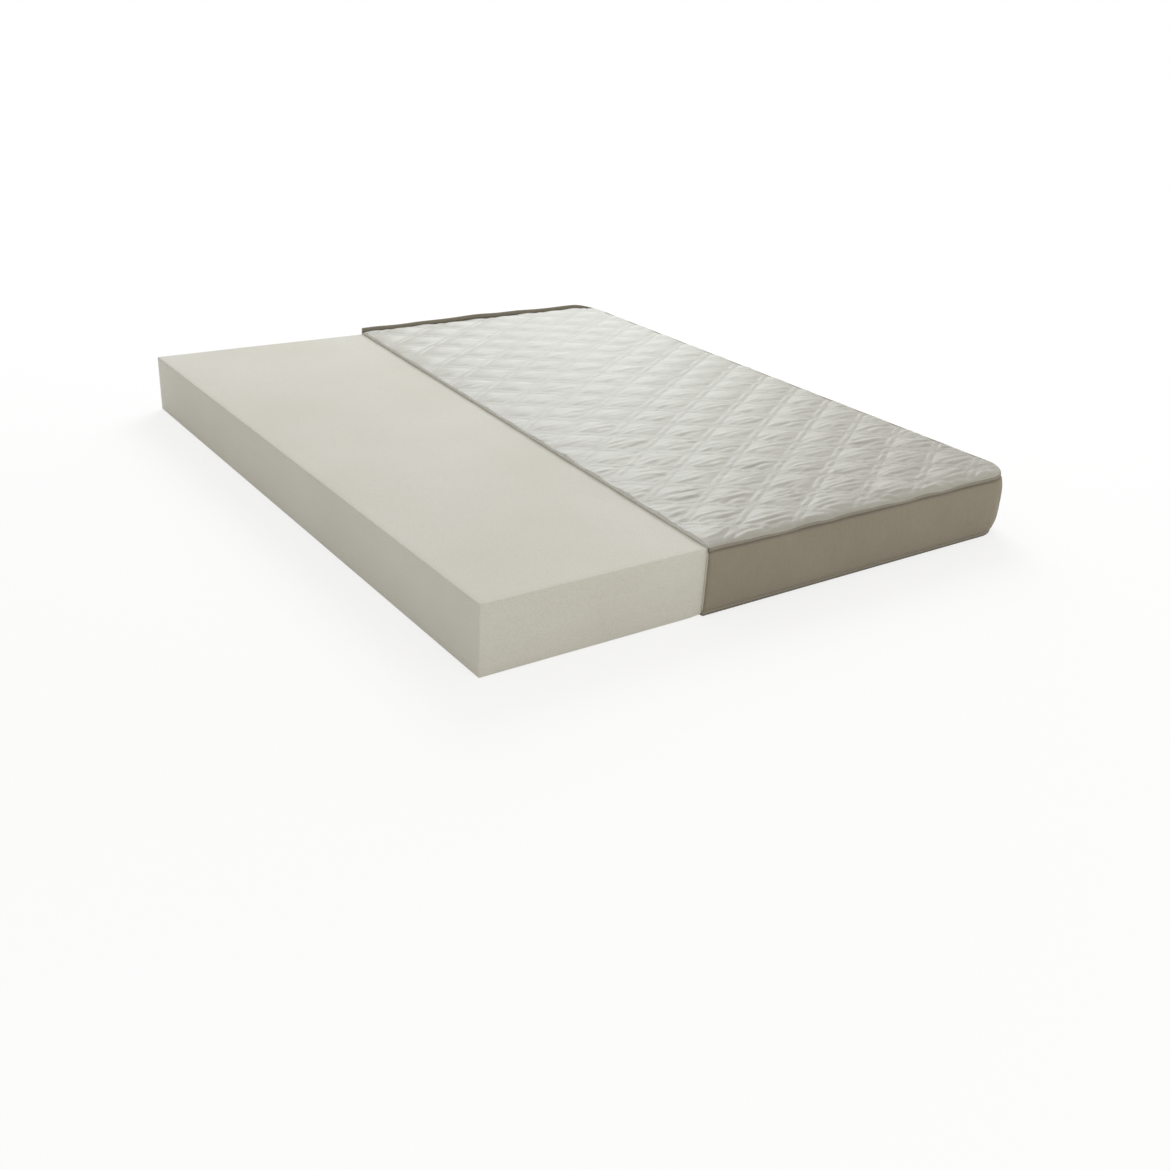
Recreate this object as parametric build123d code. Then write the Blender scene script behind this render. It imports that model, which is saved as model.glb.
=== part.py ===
from build123d import *
from collections import Counter
import math
import os

# Double mattress shown half undressed, in millimetres. A plain memory foam block lies with its length
# along Y. A sewn cover, cut off short, sits over the +X part of it and pulls off along +X.
# The origin is the middle of the underside of the whole object.

# Foam block
core_width = 1600.0
core_length = 1900.0
core_height = 160.0
core_corner_radius = 80.0  # the two upright corners that the cover rounds off

# Where the cover ends, from the bare long side of the block
cut_at_foot = 572.0
cut_at_head = 678.0

# Clearances
fit_gap = 0.3  # between the foam and the cover that slides over it
ply_gap = 0.1  # between layers that are sewn to each other
settle_run = 25.0  # the bare foam comes down onto the floor this far from the cut

# Bottom panel, from the floor up
bottom_ticking_thickness = 1.0
bottom_felt_thickness = 2.0

# Border, from the foam out
border_padding_thickness = 4.0
border_ticking_thickness = 1.2

# Top panel, from the foam up; it is drawn down to the tape along its edges
top_backing_thickness = 0.5
top_wadding_thickness = 14.0
top_ticking_thickness = 1.0
edge_roll_width = 60.0
edge_roll_drop = 10.0
edge_roll_steps = 4

# Diamond quilting, sewn by twin needles
diamond_width = 202.0  # across the mattress
diamond_length = 138.0  # along it
needle_gap = 18.0
channel_depth = 8.0
pad_shoulder = 26.0  # the slope from the needle row up to the full pad

# Rolled edge tapes
tape_height = 12.0
tape_bulge = 3.0  # how far the roll stands out from the border
tape_rise = 2.0  # how far the upper roll stands above the edge of the top panel
tape_steps = 6
stitch_thickness = 0.8

# Working overlap of cutting shapes past what they cut
overrun = 40.0
# A face whose normal rises less than this stands upright
upright = 0.01

# Heights, worked up from the floor
felt_base = bottom_ticking_thickness + ply_gap
core_base = felt_base + bottom_felt_thickness + fit_gap
core_top = core_base + core_height
backing_base = core_top + fit_gap
wadding_base = backing_base + top_backing_thickness + ply_gap
wadding_top = wadding_base + top_wadding_thickness
panel_top = wadding_top + ply_gap + top_ticking_thickness
upper_tape_top = panel_top - edge_roll_drop + tape_rise
upper_tape_base = upper_tape_top - tape_height
border_base = tape_height + ply_gap
border_top = upper_tape_base - ply_gap

# How far each layer stands out from the sides of the foam block
padding_inside = fit_gap
padding_outside = padding_inside + border_padding_thickness
cloth_inside = padding_outside + ply_gap
cloth_outside = cloth_inside + border_ticking_thickness
tape_outside = cloth_outside + tape_bulge
stitch_inside = tape_outside + ply_gap
stitch_outside = stitch_inside + stitch_thickness
panel_edge = fit_gap - ply_gap

# The whole object is centred, so the block sits off centre by half of what the cover adds on one side
core_left = -(core_width + stitch_outside) / 2
core_right = core_left + core_width
core_middle = (core_left + core_right) / 2


def plan(outset):
    """Outline of the block, or of a layer that far outside it: square at -X, rounded at +X."""
    right = core_right + outset
    half = core_length / 2 + outset
    radius = core_corner_radius + outset
    sides = FilletPolyline((core_left, -half), (right, -half), (right, half), (core_left, half), radius=radius)
    return make_face(sides + Line((core_left, half), (core_left, -half)))


def slab(outset, low, high):
    return extrude(Pos(0, 0, low) * plan(outset), amount=high - low)


def cut_line(y):
    """X of the line where the cover ends, at a place along the mattress."""
    along = y / core_length + 0.5
    return core_left + cut_at_foot + (cut_at_head - cut_at_foot) * along


def covered_side(low, high, shift=0.0):
    """Everything on the covered side of the cut line, between two heights."""
    reach = core_length / 2 + stitch_outside + overrun
    far = core_right + stitch_outside + overrun
    corners = [(cut_line(-reach), -reach), (far, -reach), (far, reach), (cut_line(reach), reach)]
    outline = make_face(Polyline(*corners, close=True))
    return extrude(Pos(shift, 0, low) * outline, amount=high - low)


def trimmed(shape):
    """The part of a cover layer that is left after the cut."""
    return shape & covered_side(-overrun, panel_top + overrun)


def band(inside, outside, low, high):
    """Strip that runs round the foot, the far side and the head."""
    return trimmed(slab(outside, low, high) - slab(inside, low - overrun, high + overrun))


def roll(low):
    """Rolled tape: flat against the layers inside it, half round on the outside."""
    sections = []
    for step in range(tape_steps + 1):
        turn = math.pi * step / tape_steps
        height = low + tape_height * (1 - math.cos(turn)) / 2
        sections.append(Pos(0, 0, height) * plan(cloth_outside + tape_bulge * math.sin(turn)))
    body = loft(sections, ruled=True)
    return trimmed(body - slab(padding_inside, low - overrun, low + tape_height + overrun))


def stitch_row(low):
    """Thread laid round the widest line of a rolled tape."""
    base = low + (tape_height - stitch_thickness) / 2
    return band(stitch_inside, stitch_outside, base, base + stitch_thickness)


def pads(bottom):
    """One swelling pad in each diamond between the needle rows, standing on the channel floor."""
    across = diamond_width / 2
    along = diamond_length / 2
    to_row = across * along / math.hypot(across, along)
    sections = []
    for inset, rise in ((needle_gap / 2, 0), (needle_gap / 2 + pad_shoulder, channel_depth)):
        share = 1 - inset / to_row
        corners = [(across * share, 0), (0, along * share), (-across * share, 0), (0, -along * share)]
        sections.append(Pos(0, 0, bottom + rise) * make_face(Polyline(*corners, close=True)))
    pad = loft(sections, ruled=True)
    rows = math.ceil(core_length / 2 / along)
    first = math.floor((core_left + cut_at_foot - core_middle) / diamond_width)
    last = math.ceil((core_right - core_middle) / diamond_width)
    centres = [
        (core_middle + (column + 0.5 * (row % 2 == 0)) * diamond_width, row * along)
        for row in range(-rows, rows + 1)
        for column in range(first, last + 1)
    ]
    return [Pos(x, y, 0) * pad for x, y in centres if cut_line(y) - across < x < core_right + across]


def quilted_padding(low, high):
    """Padding with its pads at full height, channels sewn down and edges drawn in towards the tape."""
    sections = [Pos(0, 0, low) * plan(panel_edge)]
    for step in range(edge_roll_steps + 1):
        turn = math.pi / 2 * step / edge_roll_steps
        inset = edge_roll_width * (1 - math.cos(turn))
        height = high - edge_roll_drop * (1 - math.sin(turn))
        sections.append(Pos(0, 0, height) * plan(panel_edge - inset))
    floor = high - channel_depth
    return (slab(tape_outside, low, floor) + pads(floor)) & trimmed(loft(sections, ruled=True))


def cloth_over(padding, lift, thickness):
    """Cloth laid on padding: the padding's own upper faces, lifted clear and closed round the rim."""
    upper = [face for face in padding.faces() if face.normal_at().Z > upright]
    uses = Counter(edge for face in upper for edge in face.edges())
    rim = [edge for edge, count in uses.items() if count == 1]
    under = [Pos(0, 0, lift) * face for face in upper]
    over = [Pos(0, 0, lift + thickness) * face for face in upper]
    walls = [Face.extrude(Pos(0, 0, lift) * edge, (0, 0, thickness)) for edge in rim]
    return Solid(Shell(under + over + walls))


def foam_core():
    """The block, whose bare part has settled level with the underside of the cover."""
    return slab(0, 0, core_top) - covered_side(-overrun, core_base, shift=-settle_run)


padding = quilted_padding(wadding_base, wadding_top)

pieces = {
    "foam_core": foam_core(),
    "bottom_panel_ticking": trimmed(slab(panel_edge, 0, bottom_ticking_thickness)),
    "bottom_panel_felt": trimmed(slab(panel_edge, felt_base, felt_base + bottom_felt_thickness)),
    "border_padding": band(padding_inside, padding_outside, border_base, border_top),
    "border_ticking": band(cloth_inside, cloth_outside, border_base, border_top),
    "top_panel_backing": trimmed(slab(panel_edge, backing_base, backing_base + top_backing_thickness)),
    "top_panel_wadding": padding,
    "top_panel_ticking": cloth_over(padding, ply_gap, top_ticking_thickness),
    "top_edge_tape": roll(upper_tape_base),
    "top_tape_stitching": stitch_row(upper_tape_base),
    "bottom_edge_tape": roll(0),
    "bottom_tape_stitching": stitch_row(0),
}

os.makedirs("parts", exist_ok=True)
for name, shape in pieces.items():
    export_step(shape, f"parts/{name}.step")
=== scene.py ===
import math

import bpy
import numpy as np
from mathutils import Matrix, Vector


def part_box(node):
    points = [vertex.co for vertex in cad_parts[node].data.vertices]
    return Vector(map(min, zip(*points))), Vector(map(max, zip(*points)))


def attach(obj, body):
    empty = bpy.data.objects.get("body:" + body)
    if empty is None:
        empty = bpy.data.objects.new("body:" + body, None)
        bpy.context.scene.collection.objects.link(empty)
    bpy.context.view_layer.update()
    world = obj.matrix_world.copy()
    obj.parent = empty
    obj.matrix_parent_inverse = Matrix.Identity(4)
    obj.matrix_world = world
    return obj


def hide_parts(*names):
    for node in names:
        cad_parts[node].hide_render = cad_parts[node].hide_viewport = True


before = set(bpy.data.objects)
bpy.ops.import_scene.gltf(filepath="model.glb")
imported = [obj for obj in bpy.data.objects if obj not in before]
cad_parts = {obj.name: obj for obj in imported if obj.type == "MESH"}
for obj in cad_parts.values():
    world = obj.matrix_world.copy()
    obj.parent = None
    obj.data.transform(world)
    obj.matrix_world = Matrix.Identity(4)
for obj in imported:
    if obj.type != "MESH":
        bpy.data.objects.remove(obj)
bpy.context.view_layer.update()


# The core is one block of slow foam, foamed in one piece and sawn square with a blade.
# Its edges are crisp but soft to the touch, and its skin is a fine mesh of open cells.
# Nothing is glued to it: the cover slips over its two rounded corners from the right.
core_low, core_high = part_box("foam_core")
core_corner_radius = 0.080
core_edge_softness = 0.0035
core_edge_segments = 3
core_edge_angle = math.radians(50)
core_cell = 0.020
core_unevenness = 0.0009
core_wave_length = 0.6
core_wall_layers = 8
cut_at_foot = 0.572
cut_at_head = 0.678
cover_fit_gap = 0.0003
settle_run = 0.025
least_length = 1e-9
foam_pale = (213, 211, 203)
foam_shade = (205, 202, 192)
foam_pore = (178, 174, 158)
foam_clouds_per_metre = 2.4
foam_cells_per_metre = 520.0
foam_grains_per_metre = 900.0
saw_marks_per_metre = (1.2, 1.2, 46.0)


def linear(colour):
    """A colour as it is read off a screen, from 0 to 255, as Blender's shaders take it."""
    shares = [channel / 255 for channel in colour]
    lit = [((s + 0.055) / 1.055) ** 2.4 if s > 0.04045 else s / 12.92 for s in shares]
    return (*lit, 1.0)


class Finish:
    """One socket of a material. Sums on it add Math nodes, and add() adds any other node."""

    def __init__(self, tree, socket=None):
        self.tree = tree
        self.socket = socket

    def fill(self, node, sockets):
        for place, value in sockets.items():
            if isinstance(value, Finish):
                self.tree.links.new(value.socket, node.inputs[place])
            else:
                node.inputs[place].default_value = value

    def add(self, kind, settings, sockets, result=0):
        node = self.tree.nodes.new(kind)
        for name, value in settings.items():
            setattr(node, name, value)
        self.fill(node, sockets)
        return Finish(self.tree, node.outputs[result])

    def also(self, result):
        """Another result of the same node."""
        return Finish(self.tree, self.socket.node.outputs[result])

    def math(self, operation, first, second=0.0):
        return self.add("ShaderNodeMath", {"operation": operation}, {0: first, 1: second})

    def __add__(self, other):
        return self.math("ADD", self, other)

    def __radd__(self, other):
        return self.math("ADD", other, self)

    def __sub__(self, other):
        return self.math("SUBTRACT", self, other)

    def __rsub__(self, other):
        return self.math("SUBTRACT", other, self)

    def __mul__(self, other):
        return self.math("MULTIPLY", self, other)

    def __rmul__(self, other):
        return self.math("MULTIPLY", other, self)

    def wave(self, pitch):
        """A smooth wave from -1 to 1 that repeats at each pitch."""
        return self.math("SINE", self * (2 * math.pi / pitch))

    def on_piece(self):
        """The place on the piece, in metres."""
        return self.add("ShaderNodeTexCoord", {}, {}, "Object")

    def parts(self, vector):
        """The three numbers of a vector."""
        first = self.add("ShaderNodeSeparateXYZ", {}, {"Vector": vector}, "X")
        return first, first.also("Y"), first.also("Z")

    def noise(self, vector, per_metre, detail=2.0):
        sockets = {"Vector": vector, "Scale": per_metre, "Detail": detail}
        return self.add("ShaderNodeTexNoise", {}, sockets)

    def streaks(self, vector, per_metre, detail):
        """Noise with its own count of marks in a metre along each axis."""
        drawn_out = self.add("ShaderNodeMapping", {}, {"Vector": vector, "Scale": per_metre})
        return self.noise(drawn_out, 1.0, detail)

    def blend(self, share, first, second):
        """The first colour, going over to the second as share goes from 0 to 1."""
        return self.add("ShaderNodeMix", {"data_type": "RGBA"}, {0: share, 6: first, 7: second}, 2)

    def between(self, value, low, high):
        """value, with low read as 0 and high as 1."""
        return self.add("ShaderNodeMapRange", {}, {"Value": value, "From Min": low, "From Max": high})

    def relief(self, millimetres):
        """The surface's direction where it stands proud by so many millimetres."""
        return self.add("ShaderNodeBump", {}, {"Distance": 0.001, "Height": millimetres}, "Normal")


def new_material(name):
    material = bpy.data.materials.new(name)
    material.use_nodes = True
    return material, Finish(material.node_tree)


def surface(material, finish, sockets):
    finish.fill(material.node_tree.nodes["Principled BSDF"], sockets)


def foam_material():
    material, finish = new_material("slow_foam")
    place = finish.on_piece()
    cloud = finish.between(finish.noise(place, foam_clouds_per_metre, 3.0), 0.32, 0.68)
    saw_marks = finish.streaks(place, saw_marks_per_metre, 4.0)
    cells = finish.add("ShaderNodeTexVoronoi", {}, {"Vector": place, "Scale": foam_cells_per_metre})
    grain = finish.noise(place, foam_grains_per_metre)
    tone = finish.blend(0.65 * cloud + 0.35 * saw_marks, linear(foam_pale), linear(foam_shade))
    pores = finish.between(cells, 0.45, 0.85)
    surface(material, finish, {
        "Base Color": finish.blend(0.35 * pores, tone, linear(foam_pore)),
        "Roughness": 0.86 + 0.12 * cloud,
        "Specular IOR Level": 0.2,
        "Sheen Weight": 0.08,
        "Normal": finish.relief(0.30 * cells + 0.16 * grain + 0.30 * saw_marks),
    })
    return material


def cut_line(y):
    """Where the cover is cut away, across the mattress at y."""
    share = (y - core_low.y) / (core_high.y - core_low.y)
    return core_low.x + cut_at_foot + (cut_at_head - cut_at_foot) * share


def plan_grid(left, outset, cell):
    """Rows of points over the plan, from left, which depends on y, to the rounded right side."""
    half = core_high.y + outset
    right = core_high.x + outset
    radius = core_corner_radius + outset
    rows = np.linspace(-half, half, round(2 * half / cell) + 1)
    shares = np.linspace(0, 1, round((right - left(0.0)) / cell) + 1)
    start = left(rows)
    x = start[None, :] + (right - start)[None, :] * shares[:, None]
    y = np.broadcast_to(rows, x.shape)
    across = np.maximum(x - right + radius, 0)
    along = np.maximum(np.abs(y) - half + radius, 0)
    pull = np.maximum(across, along) / np.maximum(np.hypot(across, along), least_length)
    return x - across * (1 - pull), y - np.sign(y) * along * (1 - pull)


def grid_cells(grid):
    """The four corners of each cell of a grid, in turn."""
    corners = [grid[:-1, :-1], grid[1:, :-1], grid[1:, 1:], grid[:-1, 1:]]
    return np.stack(corners, 2).reshape(-1, 4, *grid.shape[2:])


def plain_mesh(name, points, faces, material):
    mesh = bpy.data.meshes.new(name)
    mesh.from_pydata(points.tolist(), [], faces)
    mesh.materials.append(material)
    mesh.polygons.foreach_set("use_smooth", [True] * len(mesh.polygons))
    piece = bpy.data.objects.new(name, mesh)
    bpy.context.scene.collection.objects.link(piece)
    return piece


def slab(name, x, y, under, over, layers, material):
    """A closed slab over a grid of points, from under to over, with its rim in layers."""
    index = np.arange(x.size).reshape(x.shape)
    rim = np.concatenate([index[:-1, 0], index[-1, :-1], index[:0:-1, -1], index[0, :0:-1]])
    upper = np.stack([x, y, over], -1).reshape(-1, 3)
    lower = np.stack([x, y, under], -1).reshape(-1, 3)
    points = [upper, lower]
    rings = [rim]
    for layer in range(1, layers):
        rings.append(2 * x.size + (layer - 1) * rim.size + np.arange(rim.size))
        points.append(upper[rim] + (lower[rim] - upper[rim]) * layer / layers)
    rings.append(rim + x.size)
    cells = grid_cells(index)
    faces = cells.tolist() + (cells[:, ::-1] + x.size).tolist()
    for high, low in zip(rings, rings[1:]):
        wall = np.stack([low, np.roll(low, -1), np.roll(high, -1), high], -1)
        faces += wall.tolist()
    return plain_mesh(name, np.concatenate(points), faces, material)


def applied(piece):
    """The piece with its modifiers worked into its mesh."""
    bpy.context.view_layer.update()
    seen = piece.evaluated_get(bpy.context.evaluated_depsgraph_get())
    mesh = bpy.data.meshes.new_from_object(seen)
    piece.modifiers.clear()
    piece.data = mesh
    return piece


def swell(x, y, length):
    """Slow, uneven waves from -1 to 1 over the plan, about length apart. Their odd slants and
    starts only keep them from lining up."""
    turn = 2 * math.pi / length
    first = np.sin(turn * (x + 0.6 * y) + 0.7) * np.sin(turn * (0.8 * y - 0.3 * x) + 1.9)
    second = np.sin(turn * 1.7 * (x - 0.4 * y) + 2.6) * np.sin(turn * 1.3 * y + 0.4)
    return 0.6 * first + 0.4 * second


def bare_side(y):
    return np.full(np.shape(y), core_low.x)


covered_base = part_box("bottom_panel_felt")[1].z + cover_fit_gap
core_x, core_y = plan_grid(bare_side, 0.0, core_cell)
core_over = core_high.z - core_unevenness * (1 + swell(core_x, core_y, core_wave_length)) / 2
core_lift = np.clip((core_x - cut_line(core_y) + settle_run) / settle_run, 0, 1)
core_under = core_low.z + (covered_base - core_low.z) * core_lift
core = slab("core_block", core_x, core_y, core_under, core_over, core_wall_layers, foam_material())
soft_edges = core.modifiers.new("soft edges", "BEVEL")
soft_edges.width = core_edge_softness
soft_edges.segments = core_edge_segments
soft_edges.limit_method = "ANGLE"
soft_edges.angle_limit = core_edge_angle
core = applied(core)
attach(core, "core")
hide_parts("foam_core")


# The underside of the cover is a plain woven cloth that lies flat under the foam, and on
# it a thin needled felt that keeps the foam from rubbing through. Both are cut to the
# plan, and their edges are caught in the lower tape.
underside_cell = 0.030
underside_cloth_colour = (176, 168, 150)
underside_cloth_shade = (158, 150, 132)
underside_weave_pitch = 0.0016
underside_slubs_per_metre = (18.0, 320.0, 18.0)
felt_colour = (168, 164, 156)
felt_fleck = (120, 117, 112)
felt_fibres_per_metre = (260.0, 90.0, 260.0)
felt_cross_fibres_per_metre = (80.0, 300.0, 300.0)
panel_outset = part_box("top_panel_backing")[1].x - core_high.x


def underside_material():
    material, finish = new_material("underside_weave")
    place = finish.on_piece()
    across, along, _ = finish.parts(place)
    weave = across.wave(underside_weave_pitch) * along.wave(underside_weave_pitch)
    slubs = finish.streaks(place, underside_slubs_per_metre, 3.0)
    surface(material, finish, {
        "Base Color": finish.blend(slubs, linear(underside_cloth_colour), linear(underside_cloth_shade)),
        "Roughness": 0.78 + 0.14 * slubs,
        "Specular IOR Level": 0.25,
        "Normal": finish.relief(0.09 * weave + 0.14 * slubs),
    })
    return material


def felt_material():
    material, finish = new_material("needled_felt")
    place = finish.on_piece()
    fibres = finish.streaks(place, felt_fibres_per_metre, 5.0)
    cross_fibres = finish.streaks(place, felt_cross_fibres_per_metre, 5.0)
    tangle = finish.between(fibres * cross_fibres, 0.16, 0.42)
    surface(material, finish, {
        "Base Color": finish.blend(tangle, linear(felt_fleck), linear(felt_colour)),
        "Roughness": 0.9 + 0.08 * tangle,
        "Specular IOR Level": 0.15,
        "Sheen Weight": 0.2,
        "Normal": finish.relief(0.35 * tangle),
    })
    return material


def covered_area(outset):
    """The plan area of a panel of the cover, in square metres."""
    half = core_high.y + outset
    corner = core_corner_radius + outset
    return 2 * half * (core_high.x + outset - cut_line(0.0)) - (2 - math.pi / 2) * corner ** 2


def flat_panel(name, node, material):
    """A flat sheet of the cover in the height that its solid has."""
    low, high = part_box(node)
    x, y = plan_grid(cut_line, panel_outset, underside_cell)
    level = np.ones_like(x)
    panel = slab(name, x, y, low.z * level, high.z * level, 1, material)
    width = core_high.x + panel_outset - cut_line(core_low.y)
    covered_area(panel_outset)
    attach(panel, "cover")
    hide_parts(node)
    return panel


underside_cloth = flat_panel("underside_cloth", "bottom_panel_ticking", underside_material())
underside_felt = flat_panel("underside_felt", "bottom_panel_felt", felt_material())


# The border goes round the three covered sides: a strip of plain woven cloth over a thin
# padding. It is sewn to the panels only along its two edges, so that between the tapes it
# swells a little and pulls into faint upright puckers.
border_step = 0.009
border_rows = 18
border_tuck = 0.003
border_swell = 0.012
border_fullness = 4
border_flat_end = 0.12
border_spare_height = 1.008
border_spare_length = 1.014
border_follows_edge = 0.5
padding_hold = 0.31
edge_drop = 0.007
side_stand = 0.005
head_stand = 0.021
stand_at_cut = 0.78
ruffle_depth = 0.05
ruffle_runs = (0.031, 0.073)
settle_frames = 16
draw_frames = 8
cloth_rules = {
    "quality": 4, "mass": 0.1, "bending_stiffness": 0.1, "shear_stiffness": 5,
    "tension_stiffness": 20, "compression_stiffness": 20,
}
border_colour = (151, 143, 126)
border_shade = (135, 127, 111)
border_fleck = (167, 159, 143)
border_weave_pitch = 0.0014
border_yarn_per_metre = (28.0, 620.0, 1.0)
border_warp_per_metre = (620.0, 20.0, 1.0)
border_clouds_per_metre = 5.0


def edge_walk(step):
    """Points of the core's covered edge from the cut at the foot to the cut at the head, the
    way out from it at each, and the distance walked."""
    inner_x = core_high.x - core_corner_radius
    inner_y = core_high.y - core_corner_radius
    bends = round(core_corner_radius * math.pi / 2 / step) * 2
    turns = np.linspace(-math.pi / 2, 0, bends + 1)
    foot = np.linspace(cut_line(core_low.y), inner_x, round((inner_x - cut_line(core_low.y)) / step))
    side = np.linspace(-inner_y, inner_y, round(2 * inner_y / step))
    head = np.linspace(inner_x, cut_line(core_high.y), round((inner_x - cut_line(core_high.y)) / step))
    angles = np.concatenate([
        np.full(foot.size - 1, -math.pi / 2), turns, np.zeros(side.size - 2),
        turns + math.pi / 2, np.full(head.size - 1, math.pi / 2),
    ])
    middle_x = np.concatenate([foot[:-1], np.full(2 * turns.size + side.size - 2, inner_x), head[1:]])
    middle_y = np.concatenate([
        np.full(foot.size - 1 + turns.size, -inner_y), side[1:-1],
        np.full(turns.size + head.size - 1, inner_y),
    ])
    out = np.stack([np.cos(angles), np.sin(angles)], -1)
    points = np.stack([middle_x, middle_y], -1) + core_corner_radius * out
    gaps = np.linalg.norm(np.diff(points, axis=0), axis=1)
    return points, out, np.concatenate([[0.0], np.cumsum(gaps)])


def eased(share):
    """A share from 0 to 1 that starts and stops gently."""
    return share ** 2 * (3 - 2 * share)


def standing(walk):
    """How far the edge stands up at each step of the walk: not at all along the foot, a little
    along the side, and most along the head."""
    out, travel = walk[1:]
    turned = np.arctan2(out[:, 1], out[:, 0]) / (math.pi / 2)
    round_foot = np.clip(1 + turned, 0, 1)
    round_head = np.clip(turned, 0, 1)
    head_length = core_high.x - cut_line(core_high.y)
    along_head = np.clip((travel[-1] - travel) / head_length, 0, 1)
    arch = stand_at_cut + (1 - stand_at_cut) * np.sin(math.pi * along_head)
    ruffle = 1 + sum(ruffle_depth * np.sin(travel / run) for run in ruffle_runs)
    stand = side_stand * eased(round_foot) + (head_stand - side_stand) * eased(round_head)
    return stand * arch * ruffle


def band(name, walk, outsets, heights, closed, material):
    """A strip that follows the edge, with the same count of outsets and heights at each step.
    Its UV map runs along the edge and round the strip, in metres."""
    points, out, travel = walk
    plan = points[:, None, :] + out[:, None, :] * outsets[:, :, None]
    places = np.concatenate([plan, heights[:, :, None]], -1)
    index = np.arange(outsets.size).reshape(outsets.shape)
    ring = places[len(places) // 4]
    if closed:
        index = np.concatenate([index, index[:, :1]], 1)
        ring = np.concatenate([ring, ring[:1]])
    faces = grid_cells(index).tolist()
    if closed:
        faces += [index[0, :-1].tolist(), index[-1, -2::-1].tolist()]
    piece = plain_mesh(name, places.reshape(-1, 3), faces, material)
    girth = np.concatenate([[0.0], np.cumsum(np.linalg.norm(np.diff(ring, axis=0), axis=1))])
    corners = grid_cells(np.stack(np.meshgrid(travel, girth, indexing="ij"), -1)).reshape(-1, 2)
    layout = piece.data.uv_layers.new(name="cloth")
    spots = np.zeros((len(piece.data.loops), 2), np.float32)
    spots[:len(corners)] = corners
    layout.data.foreach_set("uv", spots.reshape(-1))
    return piece


def settled(name, spread, drawn, faces, hold):
    """Where cloth comes to rest when it is spread a little too large and its sewn points are
    then drawn to their places. hold is 1 where it is sewn, and less where it lies on padding."""
    mesh = bpy.data.meshes.new(name)
    mesh.from_pydata(spread.tolist(), [], faces)
    cloth = bpy.data.objects.new(name, mesh)
    scene = bpy.context.scene
    scene.collection.objects.link(cloth)
    held = cloth.vertex_groups.new(name="held")
    for strength in np.unique(hold):
        held.add(np.nonzero(hold == strength)[0].tolist(), float(strength), "REPLACE")
    cloth.shape_key_add(name="spread")
    goal = cloth.shape_key_add(name="drawn")
    goal.data.foreach_set("co", drawn.astype(np.float32).reshape(-1))
    goal.value = 0.0
    goal.keyframe_insert("value", frame=1)
    goal.value = 1.0
    goal.keyframe_insert("value", frame=draw_frames)
    modifier = cloth.modifiers.new("settle", "CLOTH")
    for rule, value in cloth_rules.items():
        setattr(modifier.settings, rule, value)
    modifier.settings.vertex_group_mass = "held"
    modifier.settings.effector_weights.gravity = 0
    modifier.collision_settings.use_collision = False
    modifier.point_cache.frame_start = 1
    modifier.point_cache.frame_end = settle_frames
    for step in range(1, settle_frames + 1):
        scene.frame_set(step)
    seen = cloth.evaluated_get(bpy.context.evaluated_depsgraph_get())
    result = np.zeros(spread.size, np.float32)
    seen.data.vertices.foreach_get("co", result)
    scene.frame_set(1)
    bpy.data.objects.remove(cloth)
    return result.reshape(-1, 3).astype(float)


def woven_border_material():
    material, finish = new_material("border_weave")
    place = finish.add("ShaderNodeUVMap", {"uv_map": "cloth"}, {})
    along, upright, _ = finish.parts(place)
    weave = along.wave(border_weave_pitch) * upright.wave(border_weave_pitch)
    yarn = finish.streaks(place, border_yarn_per_metre, 3.0)
    warp = finish.streaks(place, border_warp_per_metre, 3.0)
    cloud = finish.between(finish.noise(place, border_clouds_per_metre, 3.0), 0.3, 0.7)
    melange = finish.between(0.5 * yarn + 0.5 * warp, 0.36, 0.64)
    ground = finish.blend(0.6 * melange + 0.4 * cloud, linear(border_shade), linear(border_colour))
    surface(material, finish, {
        "Base Color": finish.blend(finish.between(weave, 0.5, 1.6), ground, linear(border_fleck)),
        "Roughness": 0.74 + 0.16 * melange,
        "Specular IOR Level": 0.25,
        "Sheen Weight": 0.12,
        "Sheen Roughness": 0.5,
        "Normal": finish.relief(0.07 * weave + 0.16 * melange),
    })
    return material


border_walk = edge_walk(border_step)
edge_points, edge_out, edge_travel = border_walk
border_length = edge_travel[-1]
border_low, border_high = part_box("border_ticking")
border_outset = border_high.x - core_high.x
border_thickness = border_high.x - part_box("border_padding")[1].x
border_foot = border_low.z - border_tuck
border_top = border_high.z + border_tuck - edge_drop + border_follows_edge * standing(border_walk)
border_shares = np.linspace(-1, 1, border_rows + 1)
border_profile = border_swell * (1 - border_shares ** border_fullness)
from_end = np.minimum(edge_travel, border_length - edge_travel)
border_flatten = np.sqrt(np.clip(from_end / border_flat_end, 0, 1))
border_outsets = border_outset + border_flatten[:, None] * border_profile
border_heights = border_foot + (border_top[:, None] - border_foot) * (border_shares + 1) / 2
border = band("border_cloth", border_walk, border_outsets, border_heights, False, woven_border_material())
border_drawn = np.array([vertex.co for vertex in border.data.vertices], float)
border_spread = border_drawn * (border_spare_length, border_spare_length, border_spare_height)
border_hold = np.full(border_outsets.shape, padding_hold)
border_hold[:, [0, -1]] = 1.0
border_hold[[0, -1], :] = 1.0
border_faces = [list(face.vertices) for face in border.data.polygons]
border_rest = settled("border_settling", border_spread, border_drawn, border_faces, border_hold.reshape(-1))
border.data.vertices.foreach_set("co", border_rest.astype(np.float32).reshape(-1))
border_wall = border.modifiers.new("cloth thickness", "SOLIDIFY")
border_wall.thickness = border_thickness
border_wall.offset = -1
border = applied(border)
border_top[0] - border_foot
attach(border, "cover")
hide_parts("border_ticking")


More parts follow.
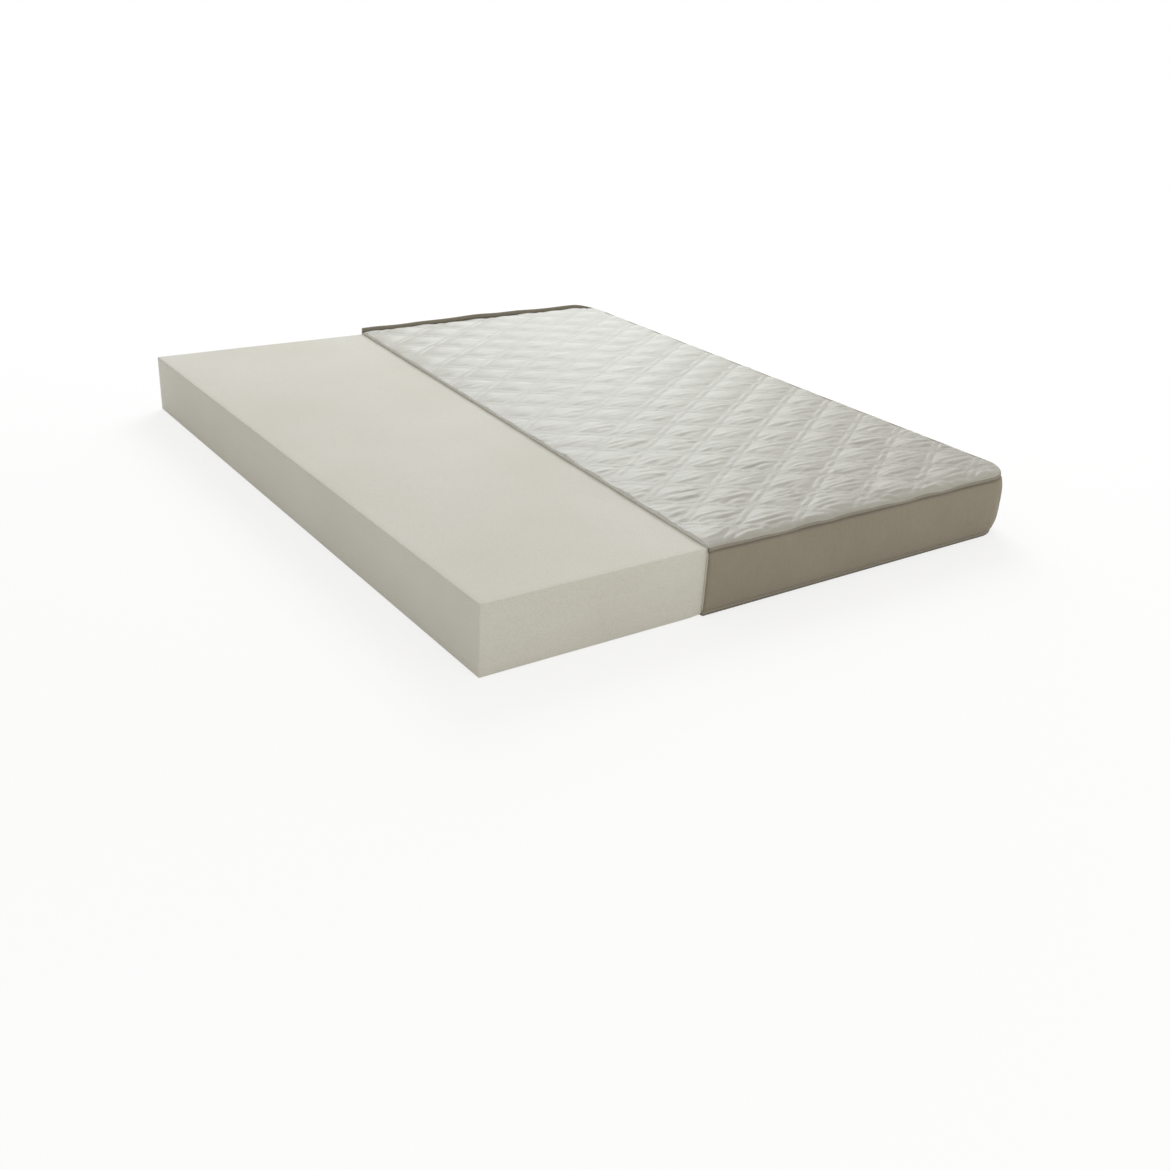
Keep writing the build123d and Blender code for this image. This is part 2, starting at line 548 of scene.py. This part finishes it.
# The border padding is a thin sheet of soft foam between the border cloth and the core.
# It follows the swell of the cloth, and only the seams along its two edges hold it.
pad_slack = 0.0012
pad_least = 0.0015
border_pad_colour = (222, 218, 204)
border_pad_shade = (204, 198, 180)
border_pad_cells_per_metre = 640.0
border_pad_clouds_per_metre = 8.0


def border_pad_material():
    material, finish = new_material("border_padding_foam")
    place = finish.on_piece()
    cells = finish.add("ShaderNodeTexVoronoi", {}, {"Vector": place, "Scale": border_pad_cells_per_metre})
    cloud = finish.noise(place, border_pad_clouds_per_metre, 3.0)
    shade = 0.5 * cells + 0.4 * cloud
    surface(material, finish, {
        "Base Color": finish.blend(shade, linear(border_pad_colour), linear(border_pad_shade)),
        "Roughness": 0.88 + 0.1 * cloud,
        "Specular IOR Level": 0.2,
        "Normal": finish.relief(0.25 * cells),
    })
    return material


pad_low, pad_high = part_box("border_padding")
cloth_places = border_rest.reshape(*border_outsets.shape, 3)
cloth_outsets = ((cloth_places[..., :2] - edge_points[:, None]) * edge_out[:, None]).sum(-1)
pad_levels = np.linspace(pad_low.z, pad_high.z, border_rows + 1)
pad_outer = np.stack([
    np.interp(pad_levels, cloth[:, 2], outset) for cloth, outset in zip(cloth_places, cloth_outsets)])
pad_outer = np.maximum(pad_outer - border_thickness - pad_slack, cover_fit_gap + pad_least)
pad_inner = np.full(border_outsets.shape, cover_fit_gap)
pad_outsets = np.concatenate([pad_outer, pad_inner], 1)
pad_rise = np.broadcast_to(pad_levels, border_outsets.shape)
pad_heights = np.concatenate([pad_rise, pad_rise[:, ::-1]], 1)
border_pad = band("border_pad", border_walk, pad_outsets, pad_heights, True, border_pad_material())
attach(border_pad, "cover")
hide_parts("border_padding")


# The quilt is the satin cloth of the top panel. Twin needles sew it down in slanting rows
# both ways, and between them it swells into diamonds. More cloth is fed in along the
# mattress than across it, so it puckers into long creases.
diamond_width = 0.202
diamond_length = 0.138
cells_per_diamond = 26
needle_cells = 2
channel_depth = 0.0066
twin_ridge = 0.0028
crossing_run = 0.02
pad_shoulder = 0.042
pad_roundness = 0.8
panel_crown = 0.006
crown_reach = 0.45
edge_roll = 0.042
edge_level = 0.1605
edge_overhang = 0.006
cut_sag = 0.001
cut_sag_reach = 0.050
cut_fullness = 0.4
quilt_thickness = 0.001
spare_cloth = 1.09
wadding_hold = 0.33
tape_catch = 1.5
crease_seed = 3
crease_start = 0.0006
crease_limit = 0.006
crease_at_head = 0.2
crease_at_foot = 1.1
crease_gathering = 2.5
crease_unevenness = 0.7
crease_patch = 0.27
crease_in_rows = 0.8
crease_softening = 0.12
quilt_ivory = (176, 173, 164)
quilt_shade = (163, 160, 150)
# The darker colour for the stitched channels is painted shade, where the pads fall away.
quilt_hollow_painted_shade = (137, 133, 122)
quilt_weave_pitch = 0.0013
quilt_yarn_per_metre = (24.0, 540.0, 60.0)
quilt_clouds_per_metre = 4.0


def wrapped(steps):
    """Grid steps from the nearest row's middle line, at most half a diamond."""
    return (steps + cells_per_diamond // 2) % cells_per_diamond - cells_per_diamond // 2


def inset(x, y):
    """How far a point of the plan lies inside the covered edge."""
    across = x - core_high.x + core_corner_radius
    along = np.abs(y) - core_high.y + core_corner_radius
    past = np.hypot(np.maximum(across, 0), np.maximum(along, 0))
    return core_corner_radius - past - np.minimum(np.maximum(across, along), 0)


core_middle = (core_low.x + core_high.x) / 2
step_across = diamond_width / cells_per_diamond
step_along = diamond_length / cells_per_diamond
row_slope = math.atan2(diamond_length, diamond_width)
row_step = step_across * math.sin(row_slope)
needle_half = needle_cells * row_step
first_column = math.floor((cut_line(core_low.y) - core_middle) / step_across) - 2
last_column = math.ceil((core_high.x + edge_overhang - core_middle) / step_across) + 1
last_row = math.ceil((core_high.y + edge_overhang) / step_along) + 1
column, row = np.meshgrid(
    np.arange(first_column, last_column + 1), np.arange(-last_row, last_row + 1), indexing="ij")
quilt_x = core_middle + column * step_across
quilt_y = row * step_along
rising = np.abs(wrapped(column - row))
falling = np.abs(wrapped(column + row))
stitched = (rising == needle_cells) | (falling == needle_cells)


def bulge(distance):
    """How full a pad is, from 0 at its stitches to 1 in its middle."""
    share = np.clip((distance - needle_half) / pad_shoulder, 0, 1)
    return np.sin(share * math.pi / 2) ** pad_roundness


def ridge(distance, clear):
    """The small ridge between twin stitch rows, which closes where two pairs cross."""
    hump = np.clip(1 - (distance / needle_half) ** 2, 0, 1)
    return twin_ridge * hump * np.clip((clear - needle_half) / crossing_run, 0, 1)


def quilt_material():
    material, finish = new_material("quilted_satin")
    place = finish.on_piece()
    across, along, _ = finish.parts(place)
    ribs = along.wave(quilt_weave_pitch) * (0.6 + 0.4 * across.wave(3 * quilt_weave_pitch))
    cloud = finish.between(finish.noise(place, quilt_clouds_per_metre, 3.0), 0.3, 0.7)
    melange = finish.between(finish.streaks(place, quilt_yarn_per_metre, 3.0), 0.34, 0.66)
    # The stitched channels are painted darker: painted shade in the hollows between the pads.
    painted_hollow_shade = finish.add("ShaderNodeAttribute", {"attribute_name": "painted_hollow_shade"}, {}, "Fac")
    ground = finish.blend(0.55 * melange + 0.45 * cloud, linear(quilt_ivory), linear(quilt_shade))
    surface(material, finish, {
        "Base Color": finish.blend(0.18 * painted_hollow_shade, ground, linear(quilt_hollow_painted_shade)),
        "Roughness": 0.46 + 0.12 * melange,
        "Specular IOR Level": 0.55,
        "Normal": finish.relief(0.05 * ribs + 0.14 * melange),
    })
    return material


from_rising = rising * row_step
from_falling = falling * row_step
fullness = channel_depth * bulge(from_rising) * bulge(from_falling)
fullness = fullness + ridge(from_rising, from_falling) + ridge(from_falling, from_rising)
from_edge = np.maximum(inset(quilt_x, quilt_y) + edge_overhang, 0)
from_cut = np.maximum(quilt_x - cut_line(quilt_y), 0)
fullness = fullness * (cut_fullness + (1 - cut_fullness) * np.clip(from_cut / cut_sag_reach, 0, 1))
roll = np.sqrt(np.maximum(1 - np.clip(1 - from_edge / edge_roll, 0, 1) ** 2, 0))
crown = panel_crown * (1 - np.clip(1 - from_edge / crown_reach, 0, 1) ** 2)
crown = crown * np.clip(from_cut / crown_reach, 0, 1)
sag = cut_sag * np.clip(1 - from_cut / cut_sag_reach, 0, 1) ** 2
channel_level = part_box("top_panel_ticking")[1].z - channel_depth
quilt_z = edge_level + (channel_level - edge_level + fullness) * roll + crown - sag
quilt_drawn = np.stack([quilt_x, quilt_y, quilt_z], -1).reshape(-1, 3)
quilt_spread = quilt_drawn * (1.0, spare_cloth, 1.0)
quilt_spread[:, 2] += np.random.default_rng(crease_seed).normal(0, crease_start, quilt_x.size)
quilt_hold = np.where(stitched | (from_edge < tape_catch * step_across), 1.0, wadding_hold).reshape(-1)
quilt_cells = grid_cells(np.arange(quilt_x.size).reshape(quilt_x.shape))
quilt_rest = settled("quilt_settling", quilt_spread, quilt_drawn, quilt_cells.tolist(), quilt_hold)

# The creases are softened, and they are strongest towards the foot and weak between the needles.
creases = (quilt_rest - quilt_drawn).reshape(*quilt_x.shape, 3)
for way in (0, 1):
    beside = np.roll(creases, 1, way) + np.roll(creases, -1, way)
    creases = (1 - 2 * crease_softening) * creases + crease_softening * beside
to_foot = np.clip(0.5 - quilt_y / (2 * core_high.y), 0, 1)
pucker = crease_at_head + (crease_at_foot - crease_at_head) * to_foot ** crease_gathering
pucker = pucker * (1 + crease_unevenness * swell(quilt_x, quilt_y, crease_patch))
between_needles = (rising <= needle_cells) | (falling <= needle_cells)
pucker = np.where(between_needles, crease_in_rows * pucker, pucker)
creases = np.clip(creases * pucker[:, :, None], -crease_limit, crease_limit)
quilt_rest = quilt_drawn + creases.reshape(-1, 3)

# The cloth is trimmed to the cut and to the tape, round the corners too.
kept = (inset(quilt_x, quilt_y) > -edge_overhang) & (quilt_x > cut_line(quilt_y))
spots = quilt_rest.copy()
over_x = np.maximum(spots[:, 0] - core_high.x + core_corner_radius, 0)
over_y = np.maximum(np.abs(spots[:, 1]) - core_high.y + core_corner_radius, 0)
reach = np.maximum(np.hypot(over_x, over_y), least_length)
shrink = np.minimum((core_corner_radius + edge_overhang) / reach, 1.0)
spots[:, 0] -= over_x * (1 - shrink)
spots[:, 1] -= np.sign(spots[:, 1]) * over_y * (1 - shrink)
spots[:, 0] = np.maximum(spots[:, 0], cut_line(spots[:, 1]))
used = quilt_cells[kept.reshape(-1)[quilt_cells].any(1)]
numbers = np.unique(used)
renumber = np.zeros(quilt_x.size, int)
renumber[numbers] = np.arange(numbers.size)
quilt = plain_mesh("panel_quilt", spots[numbers], renumber[used].tolist(), quilt_material())
# Share of painted shade on the quilt: 0 on the pads, rising to 1 down in the stitched channels.
painted_hollow_shade = quilt.data.attributes.new("painted_hollow_shade", "FLOAT", "POINT")
hollow_shade_share = np.clip(1 - fullness / channel_depth, 0, 1).reshape(-1)[numbers] ** 2
painted_hollow_shade.data.foreach_set("value", hollow_shade_share.astype(np.float32))
core_high.x - cut_line(core_low.y)
covered_area(0.0) * spare_cloth
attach(quilt, "cover")
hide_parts("top_panel_ticking")


# The wadding is a loose layer of white fibre between the quilt and its backing. It fills
# the diamonds, and the needle rows press it thin and hold it in place.
wadding_cell = 0.0085
wadding_layers = 3
wadding_slack = 0.006
wadding_least = 0.0004
ply_gap = 0.0001
wadding_white = (236, 235, 230)
wadding_shade = (205, 203, 197)
wadding_fibres_per_metre = (70.0, 260.0, 420.0)
wadding_tufts_per_metre = 90.0


def wadding_material():
    material, finish = new_material("loose_wadding")
    place = finish.on_piece()
    fibres = finish.streaks(place, wadding_fibres_per_metre, 5.0)
    tufts = finish.noise(place, wadding_tufts_per_metre, 4.0)
    fluff = finish.between(0.6 * fibres + 0.4 * tufts, 0.3, 0.7)
    surface(material, finish, {
        "Base Color": finish.blend(fluff, linear(wadding_shade), linear(wadding_white)),
        "Roughness": 0.9 + 0.08 * fluff,
        "Specular IOR Level": 0.15,
        "Sheen Weight": 0.25,
        "Normal": finish.relief(0.8 * fluff),
    })
    return material


def quilt_height(x, y):
    """The quilted cloth's height at points of the plan."""
    level = quilt_rest[:, 2].reshape(quilt_x.shape)
    across = (x - quilt_x[0, 0]) / step_across
    along = (y - quilt_y[0, 0]) / step_along
    i = np.clip(across.astype(int), 0, level.shape[0] - 2)
    j = np.clip(along.astype(int), 0, level.shape[1] - 2)
    u = across - i
    v = along - j
    near = level[i, j] * (1 - u) + level[i + 1, j] * u
    far = level[i, j + 1] * (1 - u) + level[i + 1, j + 1] * u
    return near * (1 - v) + far * v


wadding_x, wadding_y = plan_grid(cut_line, 0.0, wadding_cell)
wadding_over = quilt_height(wadding_x, wadding_y)
for shift in (-wadding_slack, wadding_slack):
    wadding_over = np.minimum(wadding_over, quilt_height(wadding_x + shift, wadding_y))
    wadding_over = np.minimum(wadding_over, quilt_height(wadding_x, wadding_y + shift / 2))
wadding_under = np.full(wadding_x.shape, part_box("top_panel_backing")[1].z + ply_gap)
wadding_over = np.maximum(wadding_over - quilt_thickness, wadding_under + wadding_least)
wadding = slab(
    "panel_wadding", wadding_x, wadding_y, wadding_under, wadding_over, wadding_layers, wadding_material())
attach(wadding, "cover")
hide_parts("top_panel_wadding")


# The backing is a thin cloth of pressed fibres under the wadding, marked with small bond
# points. The quilting is sewn through it, and it lies loose on the foam.
bond_pitch = 0.003
backing_white = (226, 226, 222)
backing_bond = (196, 196, 192)
backing_fibres_per_metre = (300.0, 90.0, 300.0)


def backing_material():
    material, finish = new_material("bonded_backing")
    place = finish.on_piece()
    across, along, _ = finish.parts(place)
    points = finish.between(across.wave(bond_pitch) * along.wave(bond_pitch), 0.55, 0.75)
    fibres = finish.streaks(place, backing_fibres_per_metre, 5.0)
    ground = finish.blend(fibres, linear(backing_white), linear(backing_bond))
    surface(material, finish, {
        "Base Color": finish.blend(0.6 * points, ground, linear(backing_bond)),
        "Roughness": 0.8 - 0.25 * points,
        "Specular IOR Level": 0.2,
        "Normal": finish.relief(0.12 * fibres - 0.1 * points),
    })
    return material


backing = flat_panel("panel_backing", "top_panel_backing", backing_material())


# Quilting stitches: a thick white thread laid in short stitches along each needle row,
# drawn down into the cloth. They stop short of the tape and of the cut.
quilt_stitch_pitch = 0.006
quilt_stitch_length = 0.0044
quilt_thread_thickness = 0.0009
quilt_stitch_sides = 4
quilt_stitch_rings = 3
stitch_margin = 0.006
stitch_shortest = 0.88
stitch_longest = 1.08
stitch_seed = 11
thread_pale = (214, 211, 202)
thread_shade = (188, 184, 172)
thread_twist = 0.0007
thread_fuzz_per_metre = 700.0


def thread_material(name, pale, shade):
    material, finish = new_material(name)
    place = finish.on_piece()
    across, along, upright = finish.parts(place)
    strands = (across + along + 1.6 * upright).wave(thread_twist)
    fuzz = finish.noise(place, thread_fuzz_per_metre)
    lit_side = finish.between(0.7 * strands + fuzz, -0.4, 1.4)
    surface(material, finish, {
        "Base Color": finish.blend(lit_side, linear(shade), linear(pale)),
        "Roughness": 0.5 + 0.2 * fuzz,
        "Specular IOR Level": 0.35,
        "Normal": finish.relief(0.06 * strands),
    })
    return material


def sewn(name, rows, pitch, length, thickness, sides, rings, material):
    """Stitches of thread along rows of points, made by Geometry Nodes as one plain mesh."""
    counts = [len(points) for points in rows]
    starts = np.concatenate([[0], np.cumsum(counts)[:-1]])
    links = [(int(s + k), int(s + k + 1)) for s, n in zip(starts, counts) for k in range(n - 1)]
    mesh = bpy.data.meshes.new(name + "_rows")
    mesh.from_pydata(np.concatenate(rows).tolist(), links, [])
    holder = bpy.data.objects.new(name + "_rows", mesh)
    bpy.context.scene.collection.objects.link(holder)
    tree = bpy.data.node_groups.new(name, "GeometryNodeTree")
    tree.interface.new_socket("Rows", in_out="INPUT", socket_type="NodeSocketGeometry")
    tree.interface.new_socket("Stitches", in_out="OUTPUT", socket_type="NodeSocketGeometry")
    given = {
        "Pitch": ("NodeSocketFloat", pitch), "Length": ("NodeSocketFloat", length),
        "Thickness": ("NodeSocketFloat", thickness), "Sides": ("NodeSocketInt", sides),
        "Rings": ("NodeSocketInt", rings), "Thread": ("NodeSocketMaterial", material),
    }
    sockets = {
        label: tree.interface.new_socket(label, in_out="INPUT", socket_type=kind)
        for label, (kind, _) in given.items()
    }
    make = Finish(tree)
    asked = make.add("NodeGroupInput", {}, {}, "Rows")
    line = make.add("GeometryNodeMeshToCurve", {}, {"Mesh": asked})
    needle = make.add("GeometryNodeCurveToPoints", {"mode": "LENGTH"}, {
        "Curve": line, "Length": asked.also("Pitch")})
    stitch = make.add("GeometryNodeMeshUVSphere", {}, {
        "Segments": asked.also("Sides"), "Rings": asked.also("Rings"), "Radius": 0.5})
    uneven = make.add("FunctionNodeRandomValue", {"data_type": "FLOAT"}, {
        2: stitch_shortest, 3: stitch_longest, "Seed": stitch_seed}, 1)
    shape = make.add("ShaderNodeCombineXYZ", {}, {
        "X": asked.also("Thickness"), "Y": asked.also("Thickness"), "Z": asked.also("Length") * uneven})
    laid = make.add("GeometryNodeInstanceOnPoints", {}, {
        "Points": needle, "Instance": stitch, "Rotation": needle.also("Rotation"), "Scale": shape})
    smooth = make.add("GeometryNodeSetShadeSmooth", {}, {0: laid})
    real = make.add("GeometryNodeRealizeInstances", {}, {"Geometry": smooth})
    dressed = make.add("GeometryNodeSetMaterial", {}, {"Geometry": real, "Material": asked.also("Thread")})
    make.fill(tree.nodes.new("NodeGroupOutput"), {"Stitches": dressed})
    modifier = holder.modifiers.new("stitches", "NODES")
    modifier.node_group = tree
    for label, socket in sockets.items():
        modifier[socket.identifier] = given[label][1]
    seen = holder.evaluated_get(bpy.context.evaluated_depsgraph_get())
    stitches = bpy.data.objects.new(name, bpy.data.meshes.new_from_object(seen))
    bpy.context.scene.collection.objects.link(stitches)
    bpy.data.objects.remove(holder)
    return stitches


def needle_rows():
    """Each stitched row inside the tape and the cut, as points on the settled cloth."""
    inside = (inset(quilt_x, quilt_y) > stitch_margin) & (from_cut > stitch_margin)
    places = quilt_rest.reshape(*quilt_x.shape, 3) + (0.0, 0.0, quilt_thread_thickness / 4)
    for slant in (column - row, column + row):
        for value in np.unique(slant):
            if abs(wrapped(value)) == needle_cells:
                picked = places[(slant == value) & inside]
                if len(picked) > 2:
                    yield picked


quilting = sewn(
    "quilting_stitches", list(needle_rows()), quilt_stitch_pitch, quilt_stitch_length,
    quilt_thread_thickness, quilt_stitch_sides, quilt_stitch_rings,
    thread_material("quilting_thread", thread_pale, thread_shade))
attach(quilting, "cover")


# The edge tapes: a narrow ribbed tape folded over the raw edges of panel and border and
# sewn through. The upper one stands up a little along the top edge and runs slightly
# wavy where the sewing has drawn it in.
tape_girth = 0.036
tape_step = 0.006
tape_sides = 18
tape_squareness = 0.75
tape_clearance = 0.0004
tape_press = 0.0015
tape_waviness = 0.0016
tape_calm = 0.2
tape_wave_runs = (0.043, 0.117, 0.021)
tape_foot_follows = 0.4
tape_pucker = 0.03
tape_pucker_pitch = 0.012
tape_rib_pitch = 0.0016
tape_wear_per_metre = 60.0
inner_shade_start = 0.40
inner_shade_end = 0.47
tape_colour = (154, 147, 133)
tape_shade = (138, 131, 117)
# The darker colour of the tape's inner side is painted shade, for where the tape stands up along the head
# and faces away from the windows.
tape_inner_painted_shade = (104, 101, 92)
tape_stitch_pitch = 0.0075
tape_stitch_length = 0.0056
tape_stitch_place = 0.35
tape_stitch_sink = 0.0004
tape_thread_thickness = 0.0011
tape_stitch_sides = 6
tape_stitch_rings = 5
tape_thread_pale = (150, 140, 120)
tape_thread_shade = (120, 110, 92)
tape_walk = edge_walk(tape_step)


def tape_material():
    material, finish = new_material("ribbed_tape")
    place = finish.add("ShaderNodeUVMap", {"uv_map": "cloth"}, {})
    along, across, _ = finish.parts(place)
    twill = (along + 0.9 * across).wave(tape_rib_pitch)
    wear = finish.between(finish.noise(place, tape_wear_per_metre, 4.0), 0.3, 0.7)
    lit_ribs = finish.between(0.6 * twill + wear, -0.5, 1.5)
    ribs = finish.blend(lit_ribs, linear(tape_shade), linear(tape_colour))
    # The tape's inner side, past its fold, is painted darker: painted shade.
    inner_shade_share = finish.between(across, inner_shade_start * tape_girth, inner_shade_end * tape_girth)
    surface(material, finish, {
        "Base Color": finish.blend(0.85 * inner_shade_share, ribs, linear(tape_inner_painted_shade)),
        "Roughness": 0.66 + 0.2 * wear,
        "Specular IOR Level": 0.3,
        "Sheen Weight": 0.1,
        "Normal": finish.relief(0.14 * twill + 0.1 * wear),
    })
    return material


def tape_levels(node, upper):
    """The lowest and highest line of a tape along the edge, where the sewing has drawn it."""
    out, travel = tape_walk[1:]
    low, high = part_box(node)
    on_foot = np.clip(-out[:, 1], 0, 1)
    long_wave, slow_wave, short_wave = [np.sin(travel / run) for run in tape_wave_runs]
    wander = long_wave * slow_wave + 0.5 * short_wave
    shift = (tape_waviness * (tape_calm + (1 - tape_calm) * on_foot) * wander - edge_drop) * upper
    stand = standing(tape_walk) * upper
    return low.z + shift + tape_foot_follows * stand, high.z + shift + stand


def tape_face(node):
    """How far the tape's outer face stands out from the core."""
    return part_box(node)[1].x - core_high.x - tape_press


def edge_tape(name, node, upper, material):
    """A folded tape round the covered edge, near the place that its solid has."""
    bottom, top = tape_levels(node, upper)
    inner = panel_outset + tape_clearance
    outer = tape_face(node)
    angle = np.linspace(0, 2 * math.pi, tape_sides, endpoint=False)[None, :]
    lean = np.sign(np.cos(angle)) * np.abs(np.cos(angle)) ** tape_squareness
    rise = np.sign(np.sin(angle)) * np.abs(np.sin(angle)) ** tape_squareness
    pinch = 1 - tape_pucker * (1 + np.cos(tape_walk[2][:, None] * 2 * math.pi / tape_pucker_pitch))
    outsets = (inner + outer) / 2 + (outer - inner) / 2 * lean * pinch
    heights = (bottom + top)[:, None] / 2 + (top - bottom)[:, None] / 2 * rise * pinch
    tape = band(name, tape_walk, outsets, heights, True, material)
    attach(tape, "cover")
    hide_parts(node)
    return tape


def tape_row(node, upper):
    """The line that the tape's stitches follow, on its outer face."""
    points, out = tape_walk[:2]
    bottom, top = tape_levels(node, upper)
    height = bottom + (top - bottom) * tape_stitch_place
    plan = points + out * (tape_face(node) - tape_stitch_sink)
    return np.concatenate([plan, height[:, None]], 1)


ribbed_tape = tape_material()
tape_thread = thread_material("tape_thread", tape_thread_pale, tape_thread_shade)
for level, upper in (("top", 1.0), ("bottom", 0.0)):
    tape = edge_tape(level + "_tape", level + "_edge_tape", upper, ribbed_tape)
    stitching = sewn(
        level + "_tape_stitches", [tape_row(level + "_edge_tape", upper)], tape_stitch_pitch,
        tape_stitch_length, tape_thread_thickness, tape_stitch_sides, tape_stitch_rings, tape_thread)
    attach(stitching, "cover")
    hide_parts(level + "_tape_stitching")


# The studio: a pale floor that keeps the shadow, a white surround, a wide soft window and a
# low one behind the head, a weak lamp in front, and the camera at the photograph's angle.
floor_size = 30.0
floor_gap = 0.0004
floor_white = (250, 250, 250)
floor_own_light = 0.76
shadow_reach = 1.5
white_reach = 4.0
plain_white = (1, 1, 1, 1)
surround_colour = (0.645, 0.632, 0.602, 1)
window_colour = (0.91, 0.965, 1.0)
window_power = 204.0
window_size = 3.2
window_place = (2.8, 3.6, 3.8)
low_window_power = 34.0
low_window_size = 2.2
low_window_place = (3.3, 4.8, 2.0)
lamp_colour = (1.0, 0.98, 0.94)
lamp_power = 28.0
lamp_size = 3.0
lamp_place = (0.4, -4.5, 2.4)
camera_turn = math.radians(-36.379)
camera_rise = math.radians(25.541)
camera_roll = math.radians(3.445)
camera_distance = 2.9423
camera_target = Vector((-0.3713, -0.6981, 0.0))
camera_lens = 39.23


def seen_directly(finish):
    """1 for what the camera sees itself, in gloss or through glass, and 0 for light that falls
    on things."""
    camera_ray = finish.add("ShaderNodeLightPath", {}, {}, "Is Camera Ray")
    gloss_or_glass = camera_ray.also("Is Glossy Ray") + camera_ray.also("Is Transmission Ray")
    return finish.math("MINIMUM", camera_ray + gloss_or_glass, 1.0)


def floor_material():
    material, finish = new_material("studio_floor")
    shader = material.node_tree.nodes["Principled BSDF"]
    finish.fill(shader, {"Base Color": linear(floor_white), "Roughness": 0.9, "Specular IOR Level": 0.1})
    away = finish.add("ShaderNodeVectorMath", {"operation": "LENGTH"}, {0: finish.on_piece()}, "Value")
    far = finish.between(away, shadow_reach, white_reach)
    share = (floor_own_light + (1 - floor_own_light) * far) * seen_directly(finish)
    glow = finish.add("ShaderNodeEmission", {}, {"Color": plain_white, "Strength": 1.0})
    lit = Finish(finish.tree, shader.outputs[0])
    seen = finish.add("ShaderNodeMixShader", {}, {0: share, 1: lit, 2: glow})
    finish.fill(material.node_tree.nodes["Material Output"], {"Surface": seen})
    return material


floor_corners = floor_size / 2 * np.array([(-1, -1, 0), (1, -1, 0), (1, 1, 0), (-1, 1, 0)], float)
floor_corners[:, 2] = -floor_gap
floor = plain_mesh("floor", floor_corners, [[0, 1, 2, 3]], floor_material())

world = bpy.data.worlds.new("studio_surround")
world.use_nodes = True
bpy.context.scene.world = world
surround = Finish(world.node_tree)
surround.fill(world.node_tree.nodes["Background"], {
    "Color": surround.blend(seen_directly(surround), surround_colour, plain_white), "Strength": 1.0})


def soft_lamp(name, colour, power, size, place):
    """A square soft lamp that shines on the middle of the floor and isn't seen itself."""
    lamp = bpy.data.lights.new(name, "AREA")
    lamp.color = colour
    lamp.size = size
    lamp.energy = power
    stand = bpy.data.objects.new(name, lamp)
    stand.location = place
    stand.visible_camera = False
    stand.rotation_euler = Vector(place).to_track_quat("Z", "Y").to_euler()
    bpy.context.scene.collection.objects.link(stand)


soft_lamp("window_behind", window_colour, window_power, window_size, window_place)
soft_lamp("low_window_behind", window_colour, low_window_power, low_window_size, low_window_place)
soft_lamp("lamp_in_front", lamp_colour, lamp_power, lamp_size, lamp_place)

back = Vector((
    math.sin(camera_turn) * math.cos(camera_rise),
    -math.cos(camera_turn) * math.cos(camera_rise),
    math.sin(camera_rise),
))
right = Vector((math.cos(camera_turn), math.sin(camera_turn), 0.0))
up = back.cross(right)
rolled_right = right * math.cos(camera_roll) + up * math.sin(camera_roll)
rolled_up = up * math.cos(camera_roll) - right * math.sin(camera_roll)
camera_data = bpy.data.cameras.new("camera")
camera_data.lens = camera_lens
camera = bpy.data.objects.new("camera", camera_data)
camera_axes = Matrix((rolled_right, rolled_up, back)).transposed().to_4x4()
camera.matrix_world = Matrix.Translation(camera_target + back * camera_distance) @ camera_axes
bpy.context.scene.collection.objects.link(camera)
bpy.context.scene.camera = camera
bpy.context.scene.view_settings.view_transform = "Standard"
